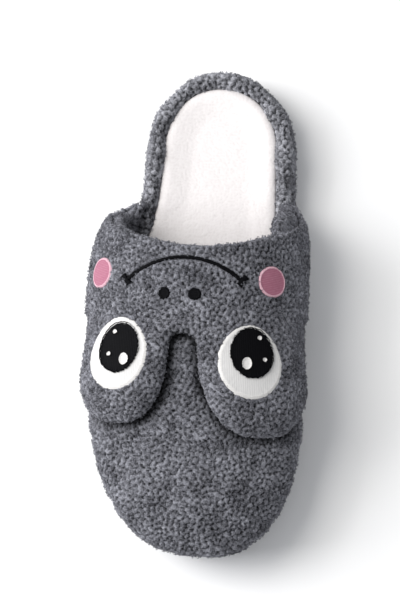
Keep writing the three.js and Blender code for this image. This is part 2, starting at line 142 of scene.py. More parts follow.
# %% Paper floor
def paper_floor():
    """White background paper: matt, with a faint mottle of its fibres."""
    material, tree = new_material("coated_white_paper")
    place = node(tree, "TexCoord").outputs["Object"]
    mottle = node(tree, "TexNoise", Vector=place, Scale=40.0, Detail=3.0)
    tone = blend(tree, mottle.outputs[0], linear("#fbfbfc"), linear("#fefefe"))
    skin = node(tree, "BsdfPrincipled", Base_Color=tone.outputs[2], Roughness=0.9)
    finish_material(tree, skin)
    mesh = bpy.data.meshes.new("paper_floor")
    half = 3.0  # metres, so that its edge is out of every view
    square = [(-half, -half, 0), (half, -half, 0), (half, half, 0), (-half, half, 0)]
    mesh.from_pydata(square, [], [(0, 1, 2, 3)])
    floor = bpy.data.objects.new("paper_floor", mesh)
    floor.data.materials.append(material)
    bpy.context.scene.collection.objects.link(floor)
    return floor


floor = paper_floor()
print("Floor lies at z =", floor.location.z)

# %% Soft key light and pale surroundings
def softbox(name, place, width, watts, tint):
    """A square area light that looks at the slipper."""
    light = bpy.data.lights.new(name, "AREA")
    light.size = width
    light.energy = watts
    light.color = linear(tint)[:3]
    lamp = bpy.data.objects.new(name, light)
    lamp.location = place
    lamp.rotation_euler = Vector(place).to_track_quat("Z", "Y").to_euler()
    bpy.context.scene.collection.objects.link(lamp)


# place and width in metres, then watts
softbox("key_softbox", (-0.8, 0.25, 1.45), 0.9, 14, "#fffdf9")
softbox("side_softbox", (-1.35, 0.1, 0.8), 1.1, 22, "#fdfdff")

surroundings = bpy.data.worlds.new("pale_studio")
surroundings.use_nodes = True
surroundings.node_tree.nodes["Background"].inputs["Color"].default_value = linear("#f6f8fb")
surroundings.node_tree.nodes["Background"].inputs["Strength"].default_value = 0.52
bpy.context.scene.world = surroundings

# %% [markdown]
# ## From CAD solid to cloth
# A CAD solid has large flat faces with sharp edges. Cloth needs small even faces that can be
# moved. Subdivision would keep the uneven layout of the solid, so a voxel remesh makes a new
# skin of small squares, and a few rounds of smoothing take the edges off. Only the part that
# shows is then split once more, to spend the faces where the eye is.

# %% Reading, writing and remeshing meshes
rng = np.random.default_rng(7)
noise.seed_set(7)  # until this is set, noise_vector takes its offsets from the clock


def corners_of(mesh):
    flat = np.empty(len(mesh.vertices) * 3, np.float32)
    mesh.vertices.foreach_get("co", flat)
    return flat.reshape(-1, 3).astype(float)


def normals_of(mesh):
    flat = np.empty(len(mesh.vertices) * 3, np.float32)
    mesh.vertex_normals.foreach_get("vector", flat)
    return flat.reshape(-1, 3).astype(float)


def edges_of(mesh):
    flat = np.empty(len(mesh.edges) * 2, np.int32)
    mesh.edges.foreach_get("vertices", flat)
    return flat.reshape(-1, 2)


def write_corners(mesh, corners):
    mesh.vertices.foreach_set("co", corners.astype(np.float32).ravel())
    mesh.update()


def write_mask(mesh, name, values):
    """Keeps one number a vertex, which a material reads by its name."""
    layer = mesh.attributes.get(name) or mesh.attributes.new(name, "FLOAT", "POINT")
    layer.data.foreach_set("value", np.asarray(values, np.float32))


def even_copy(name, node_name, voxel, rounds):
    """A new object with the CAD node's form in small even faces."""
    piece = bpy.data.objects.new(name, frame["nodes"][node_name].data.copy())
    bpy.context.scene.collection.objects.link(piece)
    remesh = piece.modifiers.new("even faces", "REMESH")
    remesh.mode = "VOXEL"
    remesh.voxel_size = voxel
    soften = piece.modifiers.new("soften", "SMOOTH")
    soften.iterations = rounds
    soften.factor = 0.5
    graph = bpy.context.evaluated_depsgraph_get()
    mesh = bpy.data.meshes.new_from_object(piece.evaluated_get(graph))
    piece.modifiers.clear()
    piece.data = mesh
    mesh.materials.clear()
    return piece


def thin_out(piece, shows, share=0.08):
    """Collapses most of the faces that don't show."""
    faces = piece.data.polygons
    kept = sum(any(shows[v] for v in f.vertices) for f in faces)
    group = piece.vertex_groups.new(name="hidden")
    group.add(np.flatnonzero(~shows).tolist(), 1.0, "REPLACE")
    fewer = piece.modifiers.new("fewer hidden faces", "DECIMATE")
    fewer.vertex_group = group.name
    fewer.ratio = (kept + share * (len(faces) - kept)) / len(faces)
    graph = bpy.context.evaluated_depsgraph_get()
    mesh = bpy.data.meshes.new_from_object(piece.evaluated_get(graph))
    piece.modifiers.clear()
    piece.vertex_groups.clear()
    piece.data = mesh


def split_faces(piece, shows):
    """Splits the faces whose corners all show into four."""
    work = bmesh.new()
    work.from_mesh(piece.data)
    work.verts.ensure_lookup_table()
    shown = (f for f in work.faces if all(shows[v.index] for v in f.verts))
    chosen = dict.fromkeys(e for f in shown for e in f.edges)  # in order; a set's order changes
    bmesh.ops.subdivide_edges(work, edges=list(chosen), cuts=1, use_grid_fill=True)
    bmesh.ops.triangulate(work, faces=[f for f in work.faces if len(f.verts) > 4])
    work.to_mesh(piece.data)
    work.free()
    piece.data.update()


def relax(corners, edges, share, rounds):
    """Moves each corner towards the mean of its neighbours by its share."""
    count = np.maximum(np.bincount(edges.ravel(), minlength=len(corners)), 1)
    for _ in range(rounds):
        total = np.stack(
            [
                np.bincount(edges[:, 0], corners[edges[:, 1], k], len(corners))
                + np.bincount(edges[:, 1], corners[edges[:, 0], k], len(corners))
                for k in range(3)
            ],
            -1,
        )
        corners = corners + share[:, None] * (total / count[:, None] - corners)
    return corners


print("Random numbers start from a fixed seed, so every run is the same.")

# %% Solids as targets for rays
def tree_of(*names):
    """One ray target from CAD nodes."""
    points, faces = [], []
    for name in names:
        mesh = frame["nodes"][name].data
        start = len(points)
        points += [v.co.copy() for v in mesh.vertices]
        faces += [[start + i for i in f.vertices] for f in mesh.polygons]
    return BVHTree.FromPolygons(points, faces)


def covered(corners, normals, tree, reach):
    """True where a ray along the normal meets the target within reach."""
    start = corners + normals * 0.05 * MM
    hits = [tree.ray_cast(Vector(p), Vector(n), reach)[0] for p, n in zip(start, normals)]
    return np.array([hit is not None for hit in hits])


def gap_to(corners, tree, reach):
    """How far each corner is from a solid, and no more than reach."""
    found = [tree.find_nearest(Vector(c), reach)[3] for c in corners]
    return np.array([reach if f is None else f for f in found])


def distance_to(points, corners):
    """For each corner, how far the nearest point is and which one it is."""
    tree = kdtree.KDTree(len(points))
    for i, p in enumerate(points):
        tree.insert(p, i)
    tree.balance()
    found = [tree.find(c) for c in corners]
    return np.array([f[2] for f in found]), np.array([f[1] for f in found])


def under(x, y, tree):
    """Place and normal where a ray from straight above meets a solid, each None if it misses."""
    above_shoe = 0.2  # metres, clear of every piece
    return tree.ray_cast(Vector((x, y, above_shoe)), Vector((0, 0, -1)))[:2]


embroidered = ("eye", "pupil", "cheek", "nostril", "smile")
patch_names = [n for n in frame["nodes"] if n.split("_")[0] in embroidered]
patches_tree = tree_of(*patch_names)
print("Embroidered nodes:", sorted(patch_names))

# %% [markdown]
# ## Teddy fleece
# Teddy fleece is a pile that curls into small nubs, about 2 mm wide at the scale used here. The
# photo shows a light tangled surface with small dark pits where three nubs meet, and a fuzzy
# outline. Blender's hair would do it, but it doesn't survive every export. So the skin itself
# is raised into nubs, and many nubs carry small loops of thick fibre as real mesh.

# %% Fleece material
tuft = 0.7 * MM  # real fibres are too thin to show, so light and dark tufts are drawn this wide


def fleece_material(name, painted_pit_shade, low, high):
    """Teddy fleece: matt curls and a soft sheen at the rims, with painted shade that darkens it where the
    pile is low.
    """
    material, tree = new_material(name)
    place = node(tree, "TexCoord").outputs["Object"]
    shade = node(tree, "Attribute", {"attribute_name": "shade"}).outputs["Fac"]
    height = node(tree, "Attribute", {"attribute_name": "height"}).outputs["Fac"]
    drift = node(tree, "TexNoise", Vector=place, Scale=1 / (14 * MM), Detail=2.0)
    fibre = node(tree, "TexNoise", Vector=place, Scale=1 / tuft, Detail=3.0, Roughness=0.7)
    sum_of = {"operation": "MULTIPLY_ADD"}
    flecked = node(tree, "Math", sum_of, i0=fibre.outputs[0], i1=2.0, i2=drift.outputs[0])
    mixed = node(tree, "Math", sum_of, i0=shade, i1=0.35, i2=flecked.outputs[0])
    tone = node(tree, "MapRange", Value=mixed.outputs[0], From_Min=1.2, From_Max=2.1)
    curl = blend(tree, tone.outputs[0], linear(low), linear(high))
    # painted shade: where the pile's height is low it takes the near-black pit colour
    colour = blend(tree, height, linear(painted_pit_shade), curl.outputs[2])
    bump = node(tree, "Bump", Strength=0.5, Distance=0.15 * MM, Height=fibre.outputs[0])
    skin = node(
        tree,
        "BsdfPrincipled",
        Base_Color=colour.outputs[2],
        Roughness=0.92,
        Sheen_Weight=0.35,
        Sheen_Roughness=0.45,
        Sheen_Tint=linear("#c9cad2"),
        Specular_IOR_Level=0.2,
        Normal=bump.outputs[0],
    )
    finish_material(tree, skin)
    return material


# painted shade: the first colour, near black, is the pit colour between the nubs
teddy_fleece = fleece_material("tumbled_teddy_fleece", "#060607", "#3b3b41", "#999aa2")
# painted light: a lighter copy of the fleece for the strip round the sole, matched in tone, as the strip
# shows lighter than the vamp at the toe and the left but not at the right; its first colour is painted pit
# shade; a lighter tone for the strip round the sole, matched by eye: the photo shows it lighter than the
# vamp at the toe and the left but not at the right, and it may be the light and not the cloth
strip_fleece_painted_light = fleece_material("sole_strip_fleece_painted_light", "#08080a", "#444449", "#b3b4bb")
print("Fleece material nodes:", len(teddy_fleece.node_tree.nodes))

# %% Places for the nubs
nub_pitch = 2.1 * MM
strip_pitch = 2.7 * MM  # round the sole


def scatter(corners, allowed, pitch):
    """Picks corners at least one pitch apart, in a shuffled order."""
    order = rng.permutation(np.flatnonzero(allowed))
    cell = pitch / math.sqrt(3)
    kept, boxes = [], {}
    reach = range(-2, 3)
    near = [(a, b, c) for a in reach for b in reach for c in reach]
    keys = np.floor(corners / cell).astype(int)
    for i in order:
        x, y, z = keys[i]
        if (x, y, z) in boxes:
            continue
        close = [boxes.get((x + a, y + b, z + c)) for a, b, c in near]
        if any(j is not None and ((corners[i] - corners[j]) ** 2).sum() < pitch * pitch for j in close):
            continue
        boxes[(x, y, z)] = i
        kept.append(i)
    return np.array(kept, int)


print("Nub pitch in mm:", nub_pitch / MM)

# %% Loops of thick fibre
def unit(v):
    return v / np.maximum(np.linalg.norm(v, axis=-1, keepdims=True), 1e-9)


def new_mesh(name, points, quads):
    """A mesh from arrays, which is quicker than lists for many faces."""
    mesh = bpy.data.meshes.new(name)
    mesh.vertices.add(len(points))
    mesh.vertices.foreach_set("co", points.astype(np.float32).ravel())
    mesh.loops.add(quads.size)
    mesh.loops.foreach_set("vertex_index", quads.astype(np.int32).ravel())
    mesh.polygons.add(len(quads))
    mesh.polygons.foreach_set("loop_start", np.arange(0, quads.size, 4, dtype=np.int32))
    mesh.polygons.foreach_set("use_smooth", np.ones(len(quads), bool))
    mesh.update(calc_edges=True)
    return mesh


def fibre_loops(name, roots, normals, size, thickness, shades, steps=3, sides=3, lean=(0, 70)):
    """Small coiled strands: each rises from its root, turns over and comes back down."""
    count = len(roots)
    aside = unit(np.cross(normals, rng.normal(size=(count, 3))))
    across = np.cross(normals, aside)
    tilt = np.radians(rng.uniform(*lean, count))[:, None]
    rise = normals * np.sin(tilt) + across * np.cos(tilt)
    axis = np.cross(aside, rise)
    radius = size * rng.uniform(0.7, 1.35, (count, 1))
    turns = np.linspace(0, 1, steps + 1)[None, :] * rng.uniform(2.6, 4.6, (count, 1))
    angle = turns[:, :, None]
    drift = axis[:, None] * (angle / 6.3 - 0.5) * radius[:, None] * rng.uniform(-1, 1, (count, 1, 1))
    path = (
        roots[:, None]
        + rise[:, None] * radius[:, None] * (1 - np.cos(angle))
        + aside[:, None] * radius[:, None] * np.sin(angle)
        + drift
    )
    along = unit(np.gradient(path, axis=1))
    side = unit(axis[:, None] - along * (axis[:, None] * along).sum(-1, keepdims=True))
    other = np.cross(along, side)
    taper = thickness * np.interp(np.linspace(0, 1, steps + 1), [0, 0.2, 0.8, 1], [0.7, 1, 1, 0.5])
    ring = np.arange(sides) * 2 * math.pi / sides
    section = side[:, :, None] * np.cos(ring)[:, None] + other[:, :, None] * np.sin(ring)[:, None]
    points = path[:, :, None] + section * taper[None, :, None, None]
    base = np.arange(count)[:, None, None] * (steps + 1) * sides
    step = np.arange(steps)[None, :, None] * sides
    here = np.arange(sides)[None, None, :]
    after = (here + 1) % sides
    start = base + step
    quads = np.stack([start + here, start + after, start + sides + after, start + sides + here], -1)
    mesh = new_mesh(name, points.reshape(-1, 3), quads.reshape(-1, 4))
    write_mask(mesh, "shade", np.repeat(shades, (steps + 1) * sides))
    # painted light and shade: each loop's colour is lighter at its top and darker at its root
    lift = ((path - roots[:, None]) * normals[:, None]).sum(-1) / (1.2 * size)
    write_mask(mesh, "height", np.repeat(np.clip(0.5 + 0.35 * lift, 0, 1).ravel(), sides))
    piece = bpy.data.objects.new(name, mesh)
    bpy.context.scene.collection.objects.link(piece)
    return piece


print("A loop of 3 steps and 3 sides has", 3 * 3 * 2, "triangles")

# %% Raising the nubs
pit_depth, nub_lift = 0.47, 0.34  # shares of the pitch, below and above the CAD face
rise_share = 0.92  # the share of the pitch over which a nub rises from a pit
bend_width, bend_size = 1.4 * MM, 0.8 * MM  # how the nubs' outlines are bent
frizz_width = 0.7 * MM
smooth_height = 0.45  # the "height" that the material reads where there is no pile


def soft_step(values):
    values = np.clip(values, 0, 1)
    return values * values * (3 - 2 * values)


def raise_nubs(piece, fleecy, pitch, low, high):
    """Raises a piece's skin into crowded nubs where it is fleecy. Two nubs leave a faint seam
    and three leave a pit, which the material darkens with painted shade; the skin is bent first
    so that no two have the same outline."""
    mesh = piece.data
    corners, normals = corners_of(mesh), normals_of(mesh)
    centres = scatter(corners, fleecy, pitch)
    tree = kdtree.KDTree(len(centres))
    for i, c in enumerate(corners[centres]):
        tree.insert(c, i)
    tree.balance()
    bend = np.array([noise.noise_vector(Vector(c / bend_width)) for c in corners]) * bend_size
    frizz = np.array([noise.noise(Vector(c / frizz_width)) for c in corners])
    found = [tree.find_n(c, 3) for c in corners + bend]
    nearest = np.array([f[0][1] for f in found])
    seam = np.array([f[1][2] - f[0][2] for f in found])
    pit = np.array([f[2][2] - f[0][2] for f in found])
    height = soft_step((0.3 * seam + pit) / (rise_share * pitch))
    height *= rng.uniform(0.8, 1.1, len(centres))[nearest]
    height = np.clip(height + 0.04 + 0.35 * frizz, 0, 1)
    lift = np.where(fleecy, low + (high - low) * height, 0)
    write_corners(mesh, corners + normals * lift[:, None])
    shade = rng.uniform(0, 1, len(centres))[nearest]
    write_mask(mesh, "height", np.where(fleecy, height, smooth_height))
    write_mask(mesh, "shade", shade)
    mesh.polygons.foreach_set("use_smooth", np.ones(len(mesh.polygons), bool))
    return height, shade


print("A nub rises from a pit over", round(rise_share * nub_pitch / MM, 2), "mm")

# %% Planting the loops
loop_size, loop_thickness, loop_root = 0.52 * MM, 0.2 * MM, 0.2 * MM
least_height, most_pressed = 0.4, 0.55  # loops stand on tops that are higher and freer than this
painted_crease_shade = 0.93  # how far painted shade darkens the pile where it is pressed into a crease


def plant_curls(name, corners, normals, shades, press_and_shade):
    """Plants a loop on each of the given corners, smaller where the pile is pressed."""
    size = loop_size * (1 - 0.5 * press_and_shade)
    roots = corners - normals * loop_root
    return fibre_loops(name, roots, normals, size, loop_thickness, shades)


def settle(piece, material, slot, *nodes):
    """Gives a piece its material, hides the CAD nodes it replaces and ties it to the root body."""
    piece.data.materials.clear()
    piece.data.materials.append(material)
    if nodes:
        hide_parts(*nodes)
    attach(piece, "root")
    triangles = sum(len(f.vertices) - 2 for f in piece.data.polygons)
    print(f"{piece.name}: {triangles} triangles")
    return piece


def dress(piece, fleecy, press_and_shade, node_name, loops, pitch=nub_pitch, cloth=teddy_fleece):
    """Turns a soft copy of a CAD node into fleece, its curls in one piece for each side."""
    height, shade = raise_nubs(piece, fleecy, pitch, -pit_depth * pitch, nub_lift * pitch)
    # painted shade: the pile's colour darkens where it is pressed into a crease
    sunk = np.where(fleecy, height * (1 - painted_crease_shade * press_and_shade), smooth_height)
    write_mask(piece.data, "height", sunk)
    settle(piece, cloth, "grey_fleece", node_name)
    corners, normals = corners_of(piece.data), normals_of(piece.data)
    tops = np.flatnonzero(fleecy & (height > least_height) & (press_and_shade < most_pressed))
    spots = rng.choice(tops, min(loops, len(tops)), replace=False)
    is_outer = corners[spots, 0] < 0
    for side, chosen in (("outer", spots[is_outer]), ("inner", spots[~is_outer])):
        tone = np.clip(shade[chosen] + rng.uniform(-0.2, 0.2, len(chosen)), 0, 1)
        name, press = f"{piece.name}_curls_{side}", press_and_shade[chosen][:, None]
        curls = plant_curls(name, corners[chosen], normals[chosen], tone, press)
        settle(curls, cloth, "grey_fleece")


print("Curls are planted where the pile is higher than", least_height, "of a full nub.")

# %% [markdown]
# ## The upper
# The upper is one hollow wall of padded fleece. Its outside shows at the toe and along both
# sides. Its inside shows through the collar, and is left smooth as a brushed lining would be.

# %% Upper: which side shows
def faces_out(corners, normals, core_height=24 * MM):
    """True on the side of a wall that looks away from the foot."""
    count = len(corners)
    core = np.stack([np.full(count, 1.0 * MM), corners[:, 1], np.full(count, core_height)], -1)
    return (((corners - core) * normals).sum(1) > 0) | (normals[:, 1] > 0.45)


around_upper = tree_of("face_panel", "sole_wrap", "insole")
panel_tree = tree_of("face_panel")


def upper_mask(piece):
    """The fleecy part of the upper: its outside and the strip turned in behind the collar."""
    corners, normals = corners_of(piece.data), normals_of(piece.data)
    turned_in = corners[:, 1] > 14 * MM
    return (faces_out(corners, normals) | turned_in) & ~covered(corners, normals, around_upper, 2 * MM)


upper = even_copy("upper_fleece", "upper", 1.3 * MM, 4)
upper_shows = upper_mask(upper)
thin_out(upper, upper_shows)
split_faces(upper, upper_mask(upper))
print("Upper corners:", len(upper.data.vertices))

# %% Upper: listed troughs and ridges, then the pile
shoe_low, shoe_high = (np.array(corner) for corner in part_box("sole_wrap"))
shoe_middle, shoe_half = (shoe_high[0] + shoe_low[0]) / 2, (shoe_high[0] - shoe_low[0]) / 2
shoe_length = shoe_high[1] - shoe_low[1]


def laid_on(tree, shares):
    """A path over a solid, seen from above, from shares of the shoe's half-width and length."""
    spots = []
    for (a, b), (c, d) in zip(shares[:-1], shares[1:]):
        for t in np.linspace(0, 1, 24):
            x = shoe_middle + shoe_half * (a + (c - a) * t)
            y = shoe_low[1] + shoe_length * (b + (d - b) * t)
            hit = under(x, y, tree)[0]
            if hit is not None:
                spots.append(np.array(hit))
    return np.array(spots)


def fold(corners, path, width, depth):
    """The lift that a soft fold gives: a trough below zero, a ridge above it."""
    return depth * np.exp(-((distance_to(path, corners)[0] / width) ** 2))


vamp_folds = [
    # shares across (big toe side +) and along from the toe, width and lift in millimetres
    ([(-0.78, 0.13), (-0.5, 0.2), (-0.42, 0.27)], 6.0, -0.9),
    ([(-0.25, 0.05), (-0.18, 0.14)], 5.0, -0.7),
    ([(0.3, 0.06), (0.22, 0.16)], 5.0, -0.7),
    ([(0.8, 0.16), (0.55, 0.22), (0.4, 0.27)], 6.0, -0.9),
    ([(-0.6, 0.12), (-0.3, 0.2), (0.1, 0.22), (0.45, 0.19)], 9.0, 0.8),
    ([(-0.3, 0.3), (0.0, 0.28), (0.25, 0.31)], 7.0, -0.7),
]


collar_ends = [
    # where the fleece is rolled in at the collar's two ends: centre, radii and swelling in mm
    ((46, 43, 38), (15, 14, 17), 7.5),
    ((49, 40, 52), (11, 10, 11), 5.0),
    ((-42, 38, 46), (9, 10, 9), 4.0),
]


def roll_in(corners, normals):
    """How far the rolled ends swell at each corner: fully on the inside, less over the top."""
    inward = soft_step(0.75 - 1.4 * normals[:, 0] * np.sign(corners[:, 0]))
    inward *= soft_step((corners[:, 1] - 30 * MM) / (4 * MM))  # clear of the panel in front
    swell = np.zeros(len(corners))
    for centre, radius, height in collar_ends:
        apart = np.linalg.norm((corners - np.array(centre) * MM) / (np.array(radius) * MM), axis=1)
        swell += height * MM * np.exp(-(apart**2)) * inward
    return swell


def toe_gathers(corners, lowest=20 * MM, highest=33 * MM):
    """Short puckers above the seam, where the fleece is eased round the toe."""
    lift = np.zeros(len(corners))
    upper_tree = tree_of("upper")
    middle = Vector((0.002, shoe_low[1] + 0.28 * shoe_length, 0))
    for number, turn in enumerate(range(196, 350, 11)):
        way = Vector((math.cos(math.radians(turn)), math.sin(math.radians(turn)), 0))
        path = []
        for z in np.linspace(lowest, highest - (number % 3) * 3 * MM, 8):
            hit = upper_tree.ray_cast(middle + Vector((0, 0, z)) + way * 0.2, -way)[0]
            if hit is not None:
                path.append(np.array(hit))
        if path:
            lift += fold(corners, np.array(path), 2.6 * MM, (-0.8 - 0.3 * (number % 2)) * MM)
    return lift


corners, normals = corners_of(upper.data), normals_of(upper.data)
swell = roll_in(corners, normals) * upper_mask(upper)
over_the_foot = np.stack([-0.8 * np.sign(corners[:, 0]), 0 * swell, 0.7 + 0 * swell], -1)
write_corners(upper.data, corners + unit(normals + over_the_foot) * swell[:, None])
split_faces(upper, swell > 2.0 * MM)
corners, normals = corners_of(upper.data), normals_of(upper.data)
upper_fleecy = upper_mask(upper)
swollen = np.clip(roll_in(corners, normals) / MM, 0, 1) * upper_fleecy
corners = relax(corners, edges_of(upper.data), 0.5 * swollen, 12)
corners = relax(corners, edges_of(upper.data), 0.5 * upper_fleecy, 3)
# the vamp is pressed down beside the panel, but not at the collar behind it
panel_reach, collar_start = 16 * MM, 8 * MM
panel_gap = gap_to(corners, panel_tree, panel_reach)
panel_gap = np.where(corners[:, 1] < collar_start, panel_gap, panel_reach)
lift = -2.6 * MM * np.exp(-((panel_gap / (3.4 * MM)) ** 2))
for shares, width, depth in vamp_folds:
    lift += fold(corners, laid_on(tree_of("upper"), shares), width * MM, depth * MM)
lift += toe_gathers(corners)
write_corners(upper.data, corners + normals * (lift * upper_fleecy)[:, None])
# painted shade in the trough beside the panel, where the pile is also pressed and has fewer loops
upper_press_and_shade = np.exp(-((panel_gap / (5.0 * MM)) ** 2))
dress(upper, upper_fleecy, upper_press_and_shade, "upper", 9000)

# %% [markdown]
# ## The face panel
# The panel is a second layer of fleece over the vamp. At its front it ends in two stuffed
# lobes, with a narrow notch between them.

# %% Face panel: which side shows
around_panel = tree_of("upper", "sole_wrap")


def panel_masks(piece):
    """The parts of the panel that show, and of those the ones under stitches."""
    corners, normals = corners_of(piece.data), normals_of(piece.data)
    shows = ~covered(corners, normals, around_panel, 1.2 * MM)
    return shows, shows & covered(corners, normals, patches_tree, 3 * MM)


panel = even_copy("face_panel_fleece", "face_panel", 1.3 * MM, 3)
thin_out(panel, panel_masks(panel)[0])
split_faces(panel, panel_masks(panel)[0])
print("Panel corners:", len(panel.data.vertices))

# %% Face panel: plump edges, then the pile
corners, normals = corners_of(panel.data), normals_of(panel.data)
panel_shows, under_patch = panel_masks(panel)
corners = relax(corners, edges_of(panel.data), 0.5 * panel_shows, 3)
on_vamp = gap_to(corners, tree_of("upper"), 3 * MM) < 1.5 * MM
front_edge = panel_shows & (corners[:, 1] < -5 * MM) & on_vamp
from_edge = distance_to(corners[front_edge], corners)[0]
clear_of_side = np.clip((53 * MM - abs(corners[:, 0])) / (8 * MM), 0, 1)
plump = 1.5 * MM * np.exp(-(((from_edge - 3 * MM) / (3 * MM)) ** 2)) * clear_of_side
lobe_side = np.clip((abs(corners[:, 0]) - 50 * MM) / (7 * MM), 0, 1) * (corners[:, 1] < -8 * MM)
lift = plump - 1.6 * MM * lobe_side
write_corners(panel.data, corners + normals * (lift * panel_shows)[:, None])
panel_fleecy = panel_shows & ~under_patch
# painted shade along the panel's front edge, where the pile is also pressed
panel_press_and_shade = np.exp(-((from_edge / (1.8 * MM)) ** 2))
dress(panel, panel_fleecy, panel_press_and_shade, "face_panel", 10000)

# %% [markdown]
# ## The wrapped sole and its rim
# A strip of fleece wraps the foam midsole. Behind the upper it rolls over the edge into a
# soft rim round the heel.

# %% Sole wrap
around_wrap = tree_of("outsole", "insole", "upper")


def wrap_mask(piece):
    corners, normals = corners_of(piece.data), normals_of(piece.data)
    return ~covered(corners, normals, around_wrap, 1.0 * MM)


wrap = even_copy("sole_wrap_fleece", "sole_wrap", 1.35 * MM, 4)
thin_out(wrap, wrap_mask(wrap))
split_faces(wrap, wrap_mask(wrap))
corners = corners_of(wrap.data)
wrap_fleecy = wrap_mask(wrap)
corners = relax(corners, edges_of(wrap.data), 0.5 * wrap_fleecy, 3)
write_corners(wrap.data, corners)
normals = normals_of(wrap.data)
from_bed = gap_to(corners, tree_of("insole"), 8 * MM)
over_bed = 1.2 * MM * np.exp(-((from_bed / (4 * MM)) ** 2)) * (corners[:, 2] > 16 * MM)
lumps = 0.7 * MM * np.sin(corners[:, 1] / (5.3 * MM) + 2 * np.sin(corners[:, 1] / (17 * MM)))
rolled = corners[:, 2] > 15 * MM
write_corners(wrap.data, corners + normals * ((over_bed + lumps * rolled) * wrap_fleecy)[:, None])
# painted shade where the strip meets the outsole, where the pile is also pressed
wrap_press_and_shade = np.exp(-((gap_to(corners, tree_of("outsole"), 4 * MM) / (1.5 * MM)) ** 2))
dress(wrap, wrap_fleecy, wrap_press_and_shade, "sole_wrap", 8000, strip_pitch, strip_fleece_painted_light)

# %% [markdown]
# ## The terry footbed
# Terry is a cloth with short uncut loops, closer and smaller than fleece curls. It is nearly
# white, so its form shows only in soft shadows between the loops.

# %% Terry footbed
def terry_material():
    """White terry: matt and slightly warm, with a faint painted shade between its loops."""
    material, tree = new_material("bleached_cotton_terry")
    place = node(tree, "TexCoord").outputs["Object"]
    height = node(tree, "Attribute", {"attribute_name": "height"}).outputs["Fac"]
    drift = node(tree, "TexNoise", Vector=place, Scale=1 / (18 * MM), Detail=2.0)
    yarn = node(tree, "TexNoise", Vector=place, Scale=1 / (0.4 * MM), Detail=2.0)
    top = blend(tree, drift.outputs[0], linear("#ece7e7"), linear("#f2eeed"))
    # painted shade: slightly grey where the loops are low
    colour = blend(tree, height, linear("#e5e0df"), top.outputs[2])
    bump = node(tree, "Bump", Strength=0.4, Distance=0.12 * MM, Height=yarn.outputs[0])
    skin = node(
        tree,
        "BsdfPrincipled",
        Base_Color=colour.outputs[2],
        Roughness=0.95,
        Sheen_Weight=0.2,
        Sheen_Roughness=0.5,
        Specular_IOR_Level=0.2,
        Normal=bump.outputs[0],
    )
    finish_material(tree, skin)
    return material


terry = terry_material()
around_footbed = tree_of("sole_wrap", "upper")


def footbed_mask(piece):
    corners, normals = corners_of(piece.data), normals_of(piece.data)
    return (normals[:, 2] > 0.3) & ~covered(corners, normals, around_footbed, 40 * MM)


footbed = even_copy("footbed_terry", "insole", 1.6 * MM, 4)
thin_out(footbed, footbed_mask(footbed))
split_faces(footbed, footbed_mask(footbed))
raise_nubs(footbed, footbed_mask(footbed), 1.5 * MM, 0.0, 0.22 * MM)
settle(footbed, terry, "white_terry", "insole")

# %% [markdown]
# ## Embroidery
# The eyes, cheeks, nostrils and smile are stitched in silky thread, taken to be rayon: a flat
# field of parallel stitches inside a satin border, whose threads run across the edge. Each
# patch is a round grid laid over its CAD solid, so that its border can be raised and ribbed.
# Its edge is sunk into the pile on purpose, so the two meshes pass through each other there.

# %% Thread materials
drawn_thread = 0.9 * MM  # thread is commonly about 0.4 mm wide; it is drawn wider so that it shows


def thread_material(name, low, high, rows, gloss):
    """Embroidery thread: silky, with a fine rib along each stitch."""
    material, tree = new_material(name)
    place = node(tree, "TexCoord").outputs["Object"]
    stitches = node(
        tree,
        "TexWave",
        {"wave_type": "BANDS", "bands_direction": rows},
        Vector=place,
        Scale=0.314 / drawn_thread,  # a band texture at scale 1 repeats every 0.314
        Distortion=1.2,
        Detail=1.0,
    )
    mottle = node(tree, "TexNoise", Vector=place, Scale=1 / (1.6 * MM), Detail=2.0)
    bands = stitches.outputs["Fac"]
    tone = node(tree, "Math", {"operation": "MULTIPLY"}, i0=bands, i1=mottle.outputs[0])
    colour = blend(tree, tone.outputs[0], linear(low), linear(high))
    bump = node(tree, "Bump", Strength=0.5, Distance=0.12 * MM, Height=bands)
    skin = node(
        tree,
        "BsdfPrincipled",
        Base_Color=colour.outputs[2],
        Roughness=gloss,
        Specular_IOR_Level=0.06,
        Normal=bump.outputs[0],
    )
    finish_material(tree, skin)
    return material


white_field = thread_material("white_rayon_fill_stitch", "#d0cfce", "#e2e1e0", "X", 0.6)
white_satin = thread_material("white_rayon_satin_stitch", "#d9d7d5", "#ebeae8", "Y", 0.45)
black_field = thread_material("black_rayon_fill_stitch", "#040406", "#0f0f13", "X", 0.6)
black_satin = thread_material("black_rayon_satin_stitch", "#040406", "#121217", "Y", 0.6)
pink_field = thread_material("pink_rayon_fill_stitch", "#9c6275", "#b98495", "Y", 0.5)
pink_satin = thread_material("pale_pink_rayon_satin_stitch", "#d0a3b0", "#e2c3cc", "X", 0.45)
print("Thread materials:", len([m for m in bpy.data.materials if "rayon" in m.name]))

# %% A stitched patch over a solid
def patch_axes(node_name):
    """Centre, two surface directions and the normal of a patch's CAD solid."""
    mesh = frame["nodes"][node_name].data
    corners = corners_of(mesh)
    normal = np.zeros(3)
    for face in mesh.polygons:
        if face.normal.z > 0:
            normal += np.array(face.normal) * face.area
    normal = unit(normal)
    across = unit(np.array([1.0, 0, 0]) - normal * normal[0])
    centre = (corners.max(0) + corners.min(0)) / 2
    return centre, across, np.cross(normal, across), normal


def drop(tree, spot, normal, high=12 * MM):
    """Where a ray from above a patch meets its solid, or None."""
    return tree.ray_cast(Vector(spot + normal * high), Vector(-normal), 2 * high)[0]


def solid_radius(tree, centre, across, along, normal):
    """The patch's outline as a radius for each angle, found by halving the step to its edge."""

    def radius(angle):
        way = across * math.cos(angle) + along * math.sin(angle)
        low, high = 0.0, 40 * MM
        for _ in range(16):
            middle = (low + high) / 2
            if drop(tree, centre + way * middle, normal) is None:
                high = middle
            else:
                low = middle
        return low

    return radius


